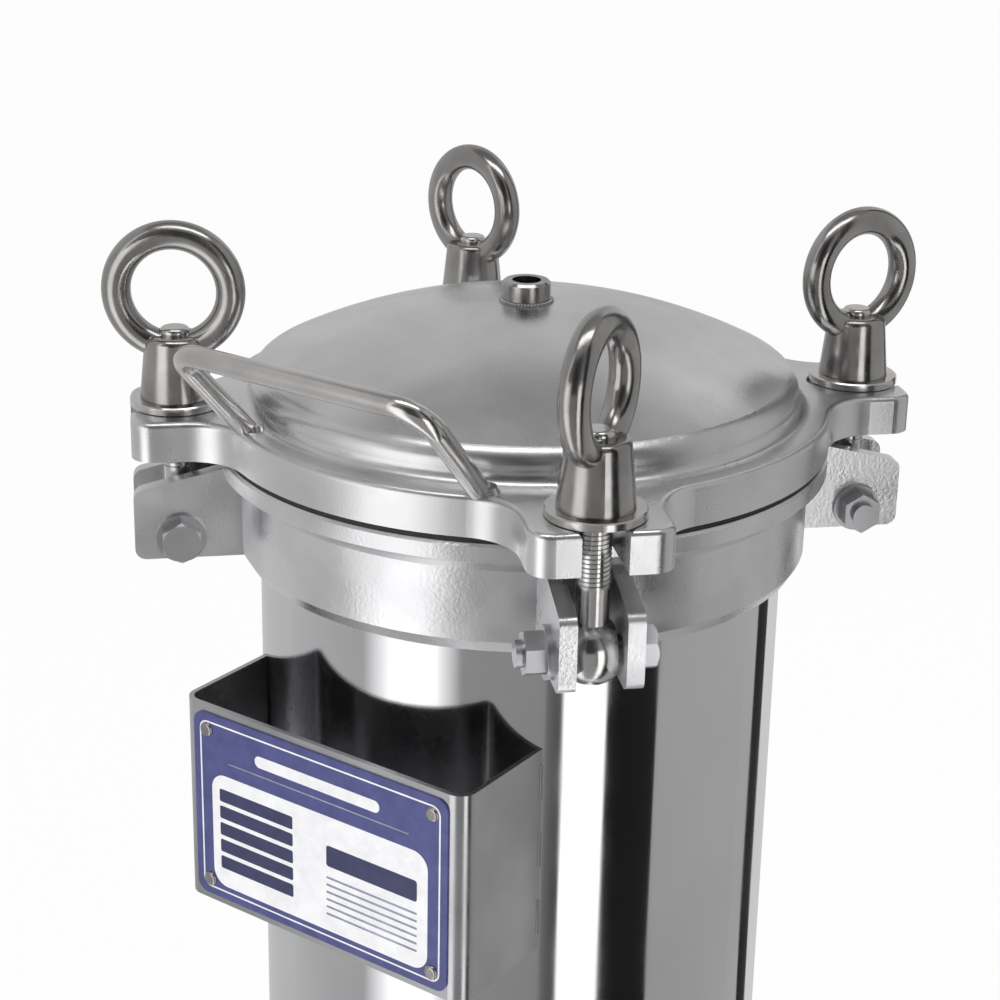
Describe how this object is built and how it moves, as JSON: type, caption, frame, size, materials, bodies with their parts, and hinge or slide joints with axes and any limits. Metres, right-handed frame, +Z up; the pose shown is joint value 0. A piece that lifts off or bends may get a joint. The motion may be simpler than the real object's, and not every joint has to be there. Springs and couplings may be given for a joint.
{
  "type": "bag filter housing",
  "caption": "Upright bag filter housing with domed bolted lid, swing bolts with eye nuts, side inlet, bottom outlet and inner basket.",
  "frame": {"origin": "on the floor, on the vessel axis, at the centre of the anchor hole circle", "axes": "+Z up along the vessel axis, -Y towards the nameplate and lid handle, +Y towards the inlet coupling"},
  "size_m": [0.3152, 0.32, 0.835],
  "materials": {
    "satin_cast_steel": "satin cast and blasted stainless steel",
    "matte_cast_steel": "matte cast stainless steel",
    "polished_steel": "mirror polished stainless steel",
    "bright_fastener": "polished stainless fasteners",
    "brushed_sheet": "brushed stainless sheet",
    "pipe_steel": "satin stainless pipe and flange",
    "black_rubber": "matte",
    "plate_enamel": "satin dark blue with white panels",
    "rivet_metal": "bright",
    "perforated_sheet": "perforated stainless sheet",
    "white_felt": "needle felt"
  },
  "bodies": {
    "housing": {"lid": "satin_cast_steel", "vent_coupling": "bright_fastener", "lid_handle": "bright_fastener", "lid_gasket": "black_rubber", "head_casting": "matte_cast_steel", "shell": "polished_steel", "bottom_dish": "polished_steel", "seat_ring": "pipe_steel", "inlet_coupling": "pipe_steel", "outlet_coupling": "pipe_steel", "leg_1": "pipe_steel", "leg_2": "pipe_steel", "leg_3": "pipe_steel", "foot_1": "pipe_steel", "foot_2": "pipe_steel", "foot_3": "pipe_steel", "nameplate_bracket": "brushed_sheet", "nameplate": "plate_enamel", "nameplate_rivets": "rivet_metal", "pin_bolts": "bright_fastener", "pin_nuts": "bright_fastener", "pin_washers": "bright_fastener", "basket": "perforated_sheet", "basket_rim": "pipe_steel", "basket_bail": "bright_fastener", "filter_bag": "white_felt", "bag_ring": "bright_fastener"},
    "bolt_front_left": {"swing_bolt_front_left": "bright_fastener"},
    "washer_front_left": {"washer_front_left": "bright_fastener"},
    "nut_front_left": {"eye_nut_front_left": "bright_fastener"},
    "bolt_front_right": {"swing_bolt_front_right": "bright_fastener"},
    "washer_front_right": {"washer_front_right": "bright_fastener"},
    "nut_front_right": {"eye_nut_front_right": "bright_fastener"},
    "bolt_back_right": {"swing_bolt_back_right": "bright_fastener"},
    "washer_back_right": {"washer_back_right": "bright_fastener"},
    "nut_back_right": {"eye_nut_back_right": "bright_fastener"},
    "bolt_back_left": {"swing_bolt_back_left": "bright_fastener"},
    "washer_back_left": {"washer_back_left": "bright_fastener"},
    "nut_back_left": {"eye_nut_back_left": "bright_fastener"}
  },
  "joints": [
    {"name": "swing_front_left", "type": "hinge", "parent": "housing", "child": "bolt_front_left", "pos_m": [-0.10041, -0.10041, 0.708], "axis": [0.7071, -0.7071, 0], "range_deg": [0, 105]},
    {"name": "back_off_front_left", "type": "slide", "parent": "bolt_front_left", "child": "washer_front_left", "axis": [0, 0, 1], "range_m": [0, 0.0202]},
    {"name": "unscrew_front_left", "type": "hinge", "parent": "washer_front_left", "child": "nut_front_left", "pos_m": [-0.10041, -0.10041, 0.78], "axis": [0, 0, 1], "range_deg": [0, 4148]},
    {"name": "swing_front_right", "type": "hinge", "parent": "housing", "child": "bolt_front_right", "pos_m": [0.10041, -0.10041, 0.708], "axis": [0.7071, 0.7071, 0], "range_deg": [0, 105]},
    {"name": "back_off_front_right", "type": "slide", "parent": "bolt_front_right", "child": "washer_front_right", "axis": [0, 0, 1], "range_m": [0, 0.0202]},
    {"name": "unscrew_front_right", "type": "hinge", "parent": "washer_front_right", "child": "nut_front_right", "pos_m": [0.10041, -0.10041, 0.78], "axis": [0, 0, 1], "range_deg": [0, 4148]},
    {"name": "swing_back_right", "type": "hinge", "parent": "housing", "child": "bolt_back_right", "pos_m": [0.10041, 0.10041, 0.708], "axis": [-0.7071, 0.7071, 0], "range_deg": [0, 105]},
    {"name": "back_off_back_right", "type": "slide", "parent": "bolt_back_right", "child": "washer_back_right", "axis": [0, 0, 1], "range_m": [0, 0.0202]},
    {"name": "unscrew_back_right", "type": "hinge", "parent": "washer_back_right", "child": "nut_back_right", "pos_m": [0.10041, 0.10041, 0.78], "axis": [0, 0, 1], "range_deg": [0, 4148]},
    {"name": "swing_back_left", "type": "hinge", "parent": "housing", "child": "bolt_back_left", "pos_m": [-0.10041, 0.10041, 0.708], "axis": [-0.7071, -0.7071, 0], "range_deg": [0, 105]},
    {"name": "back_off_back_left", "type": "slide", "parent": "bolt_back_left", "child": "washer_back_left", "axis": [0, 0, 1], "range_m": [0, 0.0202]},
    {"name": "unscrew_back_left", "type": "hinge", "parent": "washer_back_left", "child": "nut_back_left", "pos_m": [-0.10041, 0.10041, 0.78], "axis": [0, 0, 1], "range_deg": [0, 4148]}
  ],
  "couplings": [
    {"joint": "back_off_front_left", "follows": "swing_front_left", "m_per_rad": 0.011},
    {"joint": "unscrew_front_left", "follows": "swing_front_left", "ratio": 39.494},
    {"joint": "back_off_front_right", "follows": "swing_front_right", "m_per_rad": 0.011},
    {"joint": "unscrew_front_right", "follows": "swing_front_right", "ratio": 39.494},
    {"joint": "back_off_back_right", "follows": "swing_back_right", "m_per_rad": 0.011},
    {"joint": "unscrew_back_right", "follows": "swing_back_right", "ratio": 39.494},
    {"joint": "back_off_back_left", "follows": "swing_back_left", "m_per_rad": 0.011},
    {"joint": "unscrew_back_left", "follows": "swing_back_left", "ratio": 39.494}
  ]
}
